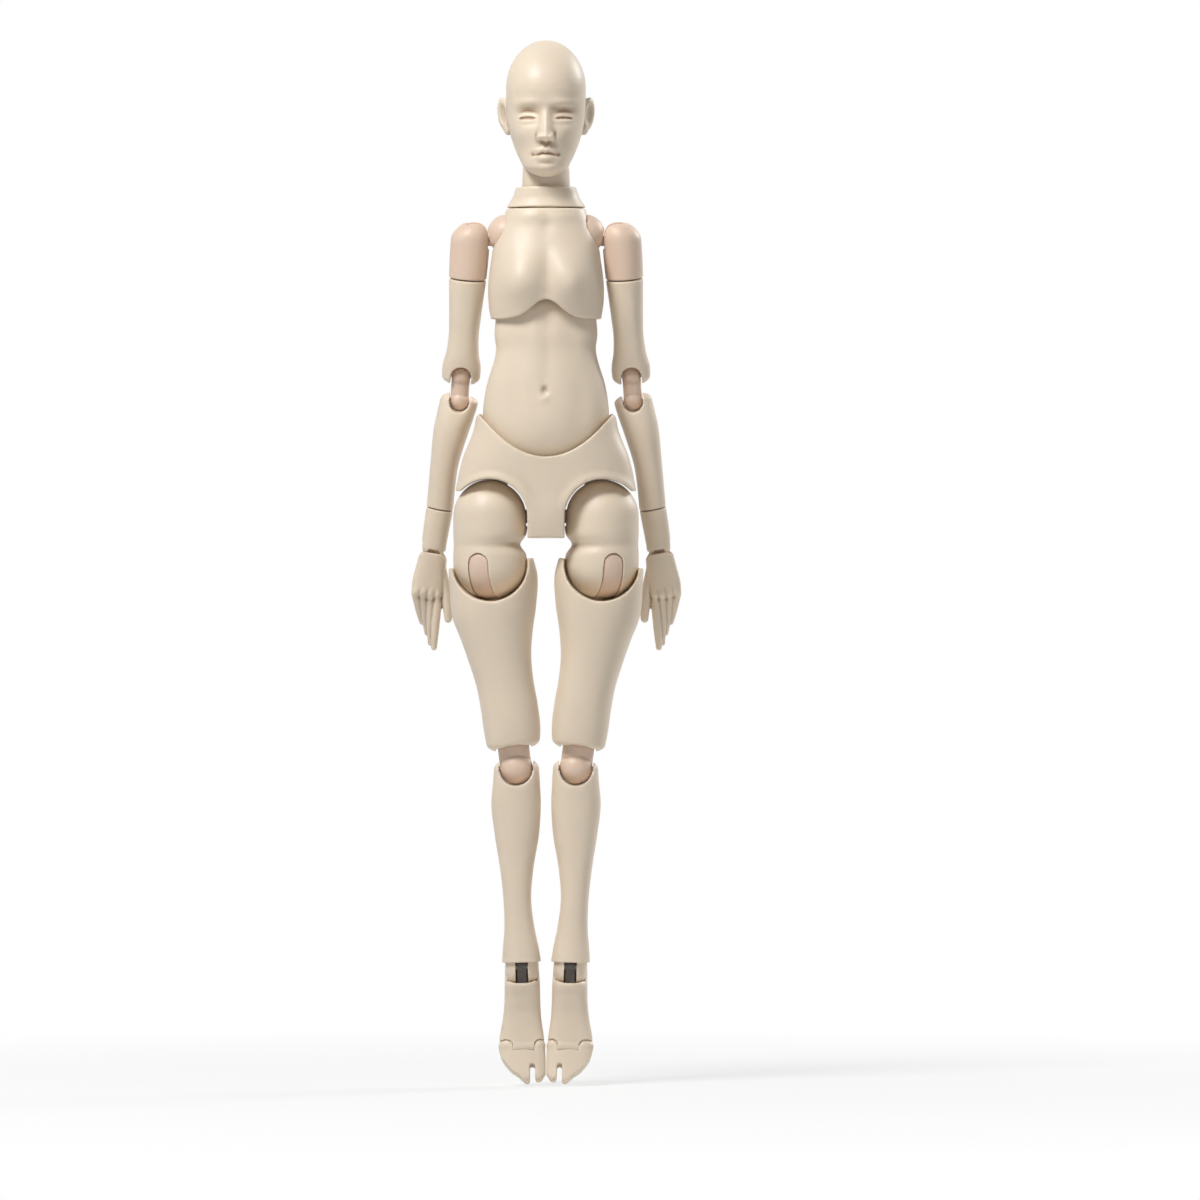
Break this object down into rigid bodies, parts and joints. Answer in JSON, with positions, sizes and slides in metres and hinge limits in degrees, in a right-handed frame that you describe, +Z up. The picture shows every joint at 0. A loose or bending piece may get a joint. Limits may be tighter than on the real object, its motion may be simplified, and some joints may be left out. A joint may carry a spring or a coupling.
{
  "type": "action figure body",
  "caption": "Bare, bald articulated female action figure body in ivory plastic, with a ball-jointed torso, link elbows and knees, capsule hips, hinged wrists and ankles and split-toe feet.",
  "frame": {"origin": "middle of the flat face between the legs, at the bottom of the pelvis", "axes": "+Z up through the head, -Y the way the figure faces, +X to the figure's left"},
  "size_m": [0.0788, 0.0415, 0.3028],
  "materials": {
    "ivory_plastic": "satin moulded",
    "blush_plastic": "satin moulded",
    "grey_plastic": "matte",
    "steel_pin": "satin"
  },
  "bodies": {
    "pelvis": {"pelvis": "ivory_plastic"},
    "waist_peg": {"waist_peg": "blush_plastic"},
    "abdomen": {"abdomen": "ivory_plastic"},
    "chest_peg": {"chest_peg": "blush_plastic"},
    "chest": {"chest_front": "ivory_plastic", "chest_back": "ivory_plastic", "neck_collar": "ivory_plastic"},
    "neck": {"neck": "ivory_plastic"},
    "neck_ball": {"neck_ball": "ivory_plastic"},
    "head": {"head": "ivory_plastic"},
    "left_clavicle": {"left_clavicle": "blush_plastic"},
    "left_shoulder_peg": {"left_shoulder_peg": "blush_plastic"},
    "left_shoulder_cap": {"left_shoulder_cap": "blush_plastic"},
    "left_upper_arm": {"left_upper_arm": "ivory_plastic", "left_upper_elbow_pin": "steel_pin"},
    "left_elbow_link": {"left_elbow_link": "blush_plastic"},
    "left_forearm": {"left_forearm": "ivory_plastic", "left_lower_elbow_pin": "steel_pin"},
    "left_wrist_cuff": {"left_wrist_cuff": "ivory_plastic", "left_wrist_pin": "ivory_plastic"},
    "left_hand": {"left_wrist_peg": "blush_plastic", "left_hand": "ivory_plastic"},
    "left_hip_peg": {"left_hip_peg": "blush_plastic"},
    "left_hip_cap": {"left_hip_cap": "ivory_plastic"},
    "left_thigh_tongue": {"left_thigh_tongue": "blush_plastic"},
    "left_thigh": {"left_thigh": "ivory_plastic", "left_upper_knee_pin": "steel_pin"},
    "left_knee_link": {"left_knee_link": "blush_plastic"},
    "left_shin": {"left_shin": "ivory_plastic", "left_lower_knee_pin": "steel_pin"},
    "left_ankle_ball": {"left_ankle_ball": "ivory_plastic", "left_ankle_pin": "steel_pin"},
    "left_ankle_hinge": {"left_ankle_hinge": "grey_plastic"},
    "left_foot": {"left_foot": "ivory_plastic"},
    "left_toes": {"left_toes": "ivory_plastic"},
    "right_clavicle": {"right_clavicle": "blush_plastic"},
    "right_shoulder_peg": {"right_shoulder_peg": "blush_plastic"},
    "right_shoulder_cap": {"right_shoulder_cap": "blush_plastic"},
    "right_upper_arm": {"right_upper_arm": "ivory_plastic", "right_upper_elbow_pin": "steel_pin"},
    "right_elbow_link": {"right_elbow_link": "blush_plastic"},
    "right_forearm": {"right_forearm": "ivory_plastic", "right_lower_elbow_pin": "steel_pin"},
    "right_wrist_cuff": {"right_wrist_cuff": "ivory_plastic", "right_wrist_pin": "ivory_plastic"},
    "right_hand": {"right_wrist_peg": "blush_plastic", "right_hand": "ivory_plastic"},
    "right_hip_peg": {"right_hip_peg": "blush_plastic"},
    "right_hip_cap": {"right_hip_cap": "ivory_plastic"},
    "right_thigh_tongue": {"right_thigh_tongue": "blush_plastic"},
    "right_thigh": {"right_thigh": "ivory_plastic", "right_upper_knee_pin": "steel_pin"},
    "right_knee_link": {"right_knee_link": "blush_plastic"},
    "right_shin": {"right_shin": "ivory_plastic", "right_lower_knee_pin": "steel_pin"},
    "right_ankle_ball": {"right_ankle_ball": "ivory_plastic", "right_ankle_pin": "steel_pin"},
    "right_ankle_hinge": {"right_ankle_hinge": "grey_plastic"},
    "right_foot": {"right_foot": "ivory_plastic"},
    "right_toes": {"right_toes": "ivory_plastic"}
  },
  "joints": [
    {"name": "waist_turn", "type": "hinge", "parent": "pelvis", "child": "waist_peg", "pos_m": [0, 0, 0.037], "axis": [0, 0, 1], "range_deg": [-6, 6]},
    {"name": "waist_lean", "type": "hinge", "parent": "waist_peg", "child": "abdomen", "pos_m": [0, 0, 0.037], "axis": [0, 1, 0], "range_deg": [-5, 5]},
    {"name": "chest_bend", "type": "hinge", "parent": "abdomen", "child": "chest_peg", "pos_m": [0, 0, 0.0635], "axis": [1, 0, 0], "range_deg": [-7, 7]},
    {"name": "chest_turn", "type": "hinge", "parent": "chest_peg", "child": "chest", "pos_m": [0, 0, 0.0635], "axis": [0, 0, 1], "range_deg": [-7, 7]},
    {"name": "neck_tilt", "type": "hinge", "parent": "chest", "child": "neck", "pos_m": [0, 0.002, 0.0975], "axis": [1, 0, 0], "range_deg": [-8, 8]},
    {"name": "head_turn", "type": "hinge", "parent": "neck", "child": "neck_ball", "pos_m": [0, 0.002, 0.1075], "axis": [0, 0, 1], "range_deg": [-60, 60]},
    {"name": "head_nod", "type": "hinge", "parent": "neck_ball", "child": "head", "pos_m": [0, 0.002, 0.1075], "axis": [1, 0, 0], "range_deg": [-20, 6]},
    {"name": "left_shrug", "type": "hinge", "parent": "chest", "child": "left_clavicle", "pos_m": [0.0114, 0.0015, 0.0882], "axis": [0, -1, 0], "range_deg": [0, 10]},
    {"name": "left_shoulder_swing", "type": "hinge", "parent": "left_clavicle", "child": "left_shoulder_peg", "pos_m": [0.022, 0.002, 0.0862], "axis": [1, 0, 0], "range_deg": [-90, 40]},
    {"name": "left_shoulder_raise", "type": "hinge", "parent": "left_shoulder_peg", "child": "left_shoulder_cap", "pos_m": [0.022, 0.002, 0.0862], "axis": [0, -0.9877, -0.1564], "range_deg": [0, 75]},
    {"name": "left_arm_twist", "type": "hinge", "parent": "left_shoulder_cap", "child": "left_upper_arm", "pos_m": [0.022, 0.002, 0.0862], "axis": [-0.0698, -0.1561, 0.9853], "range_deg": [-60, 60]},
    {"name": "left_elbow_upper", "type": "hinge", "parent": "left_upper_arm", "child": "left_elbow_link", "pos_m": [0.02476, 0.00818, 0.04718], "axis": [0.9976, -0.0109, 0.0689], "range_deg": [-65, 0]},
    {"name": "left_elbow_lower", "type": "hinge", "parent": "left_elbow_link", "child": "left_forearm", "pos_m": [0.02527, 0.00932, 0.03999], "axis": [0.986, -0.0261, 0.1647], "range_deg": [-65, 0]},
    {"name": "left_forearm_twist", "type": "hinge", "parent": "left_forearm", "child": "left_wrist_cuff", "pos_m": [0.02527, 0.00932, 0.03999], "axis": [-0.1668, -0.1542, 0.9739], "range_deg": [-60, 60]},
    {"name": "left_wrist_bend", "type": "hinge", "parent": "left_wrist_cuff", "child": "left_hand", "pos_m": [0.03251, 0.01601, -0.00228], "axis": [0.986, -0.0261, 0.1647], "range_deg": [-32, 40]},
    {"name": "left_hip_swing", "type": "hinge", "parent": "pelvis", "child": "left_hip_peg", "pos_m": [0.0162, 0.001, 0.0063], "axis": [1, 0, 0], "range_deg": [-70, 20]},
    {"name": "left_hip_spread", "type": "hinge", "parent": "left_hip_peg", "child": "left_hip_cap", "pos_m": [0.0162, 0.001, 0.0063], "axis": [0, -1, 0], "range_deg": [0, 45]},
    {"name": "left_thigh_bend", "type": "hinge", "parent": "left_hip_cap", "child": "left_thigh_tongue", "pos_m": [0.0162, 0.001, -0.0073], "axis": [0.9436, 0.309, -0.1192], "range_deg": [-35, 0]},
    {"name": "left_thigh_twist", "type": "hinge", "parent": "left_thigh_tongue", "child": "left_thigh", "pos_m": [0.0162, 0.001, -0.0073], "axis": [0.1253, 0, 0.9921], "range_deg": [0, 24]},
    {"name": "left_knee_upper", "type": "hinge", "parent": "left_thigh", "child": "left_knee_link", "pos_m": [0.00993, 0.001, -0.05691], "axis": [-0.9921, 0, 0.1253], "range_deg": [-65, 0]},
    {"name": "left_knee_lower", "type": "hinge", "parent": "left_knee_link", "child": "left_shin", "pos_m": [0.00868, 0.001, -0.06683], "axis": [-0.9996, 0, 0.0279], "range_deg": [-65, 0]},
    {"name": "left_ankle_turn", "type": "hinge", "parent": "left_shin", "child": "left_ankle_ball", "pos_m": [0.00707, 0.001, -0.1244], "axis": [0.0279, 0, 0.9996], "range_deg": [0, 15]},
    {"name": "left_ankle_bend", "type": "hinge", "parent": "left_ankle_ball", "child": "left_ankle_hinge", "pos_m": [0.00707, 0.001, -0.1244], "axis": [0.9996, 0, -0.0279], "range_deg": [-65, 5]},
    {"name": "left_ankle_roll", "type": "hinge", "parent": "left_ankle_hinge", "child": "left_foot", "pos_m": [0.00707, 0.001, -0.1244], "axis": [0.0279, 0, 0.9996], "range_deg": [0, 15]},
    {"name": "left_toe_bend", "type": "hinge", "parent": "left_foot", "child": "left_toes", "pos_m": [0.00643, 0.00064, -0.14744], "axis": [0.9996, 0, -0.0279], "range_deg": [-26, 10]},
    {"name": "right_shrug", "type": "hinge", "parent": "chest", "child": "right_clavicle", "pos_m": [-0.0114, 0.0015, 0.0882], "axis": [0, 1, 0], "range_deg": [0, 10]},
    {"name": "right_shoulder_swing", "type": "hinge", "parent": "right_clavicle", "child": "right_shoulder_peg", "pos_m": [-0.022, 0.002, 0.0862], "axis": [1, 0, 0], "range_deg": [-90, 40]},
    {"name": "right_shoulder_raise", "type": "hinge", "parent": "right_shoulder_peg", "child": "right_shoulder_cap", "pos_m": [-0.022, 0.002, 0.0862], "axis": [0, 0.9877, 0.1564], "range_deg": [0, 75]},
    {"name": "right_arm_twist", "type": "hinge", "parent": "right_shoulder_cap", "child": "right_upper_arm", "pos_m": [-0.022, 0.002, 0.0862], "axis": [0.0698, -0.1561, 0.9853], "range_deg": [-60, 60]},
    {"name": "right_elbow_upper", "type": "hinge", "parent": "right_upper_arm", "child": "right_elbow_link", "pos_m": [-0.02476, 0.00818, 0.04718], "axis": [0.9976, 0.0109, -0.0689], "range_deg": [-65, 0]},
    {"name": "right_elbow_lower", "type": "hinge", "parent": "right_elbow_link", "child": "right_forearm", "pos_m": [-0.02527, 0.00932, 0.03999], "axis": [0.986, 0.0261, -0.1647], "range_deg": [-65, 0]},
    {"name": "right_forearm_twist", "type": "hinge", "parent": "right_forearm", "child": "right_wrist_cuff", "pos_m": [-0.02527, 0.00932, 0.03999], "axis": [0.1668, -0.1542, 0.9739], "range_deg": [-60, 60]},
    {"name": "right_wrist_bend", "type": "hinge", "parent": "right_wrist_cuff", "child": "right_hand", "pos_m": [-0.03251, 0.01601, -0.00228], "axis": [0.986, 0.0261, -0.1647], "range_deg": [-32, 40]},
    {"name": "right_hip_swing", "type": "hinge", "parent": "pelvis", "child": "right_hip_peg", "pos_m": [-0.0162, 0.001, 0.0063], "axis": [1, 0, 0], "range_deg": [-70, 20]},
    {"name": "right_hip_spread", "type": "hinge", "parent": "right_hip_peg", "child": "right_hip_cap", "pos_m": [-0.0162, 0.001, 0.0063], "axis": [0, 1, 0], "range_deg": [0, 45]},
    {"name": "right_thigh_bend", "type": "hinge", "parent": "right_hip_cap", "child": "right_thigh_tongue", "pos_m": [-0.0162, 0.001, -0.0073], "axis": [0.9436, -0.309, 0.1192], "range_deg": [-35, 0]},
    {"name": "right_thigh_twist", "type": "hinge", "parent": "right_thigh_tongue", "child": "right_thigh", "pos_m": [-0.0162, 0.001, -0.0073], "axis": [0.1253, 0, -0.9921], "range_deg": [0, 24]},
    {"name": "right_knee_upper", "type": "hinge", "parent": "right_thigh", "child": "right_knee_link", "pos_m": [-0.00993, 0.001, -0.05691], "axis": [-0.9921, 0, -0.1253], "range_deg": [-65, 0]},
    {"name": "right_knee_lower", "type": "hinge", "parent": "right_knee_link", "child": "right_shin", "pos_m": [-0.00868, 0.001, -0.06683], "axis": [-0.9996, 0, -0.0279], "range_deg": [-65, 0]},
    {"name": "right_ankle_turn", "type": "hinge", "parent": "right_shin", "child": "right_ankle_ball", "pos_m": [-0.00707, 0.001, -0.1244], "axis": [0.0279, 0, -0.9996], "range_deg": [0, 15]},
    {"name": "right_ankle_bend", "type": "hinge", "parent": "right_ankle_ball", "child": "right_ankle_hinge", "pos_m": [-0.00707, 0.001, -0.1244], "axis": [0.9996, 0, 0.0279], "range_deg": [-65, 5]},
    {"name": "right_ankle_roll", "type": "hinge", "parent": "right_ankle_hinge", "child": "right_foot", "pos_m": [-0.00707, 0.001, -0.1244], "axis": [0.0279, 0, -0.9996], "range_deg": [0, 15]},
    {"name": "right_toe_bend", "type": "hinge", "parent": "right_foot", "child": "right_toes", "pos_m": [-0.00643, 0.00064, -0.14744], "axis": [0.9996, 0, 0.0279], "range_deg": [-26, 10]}
  ]
}
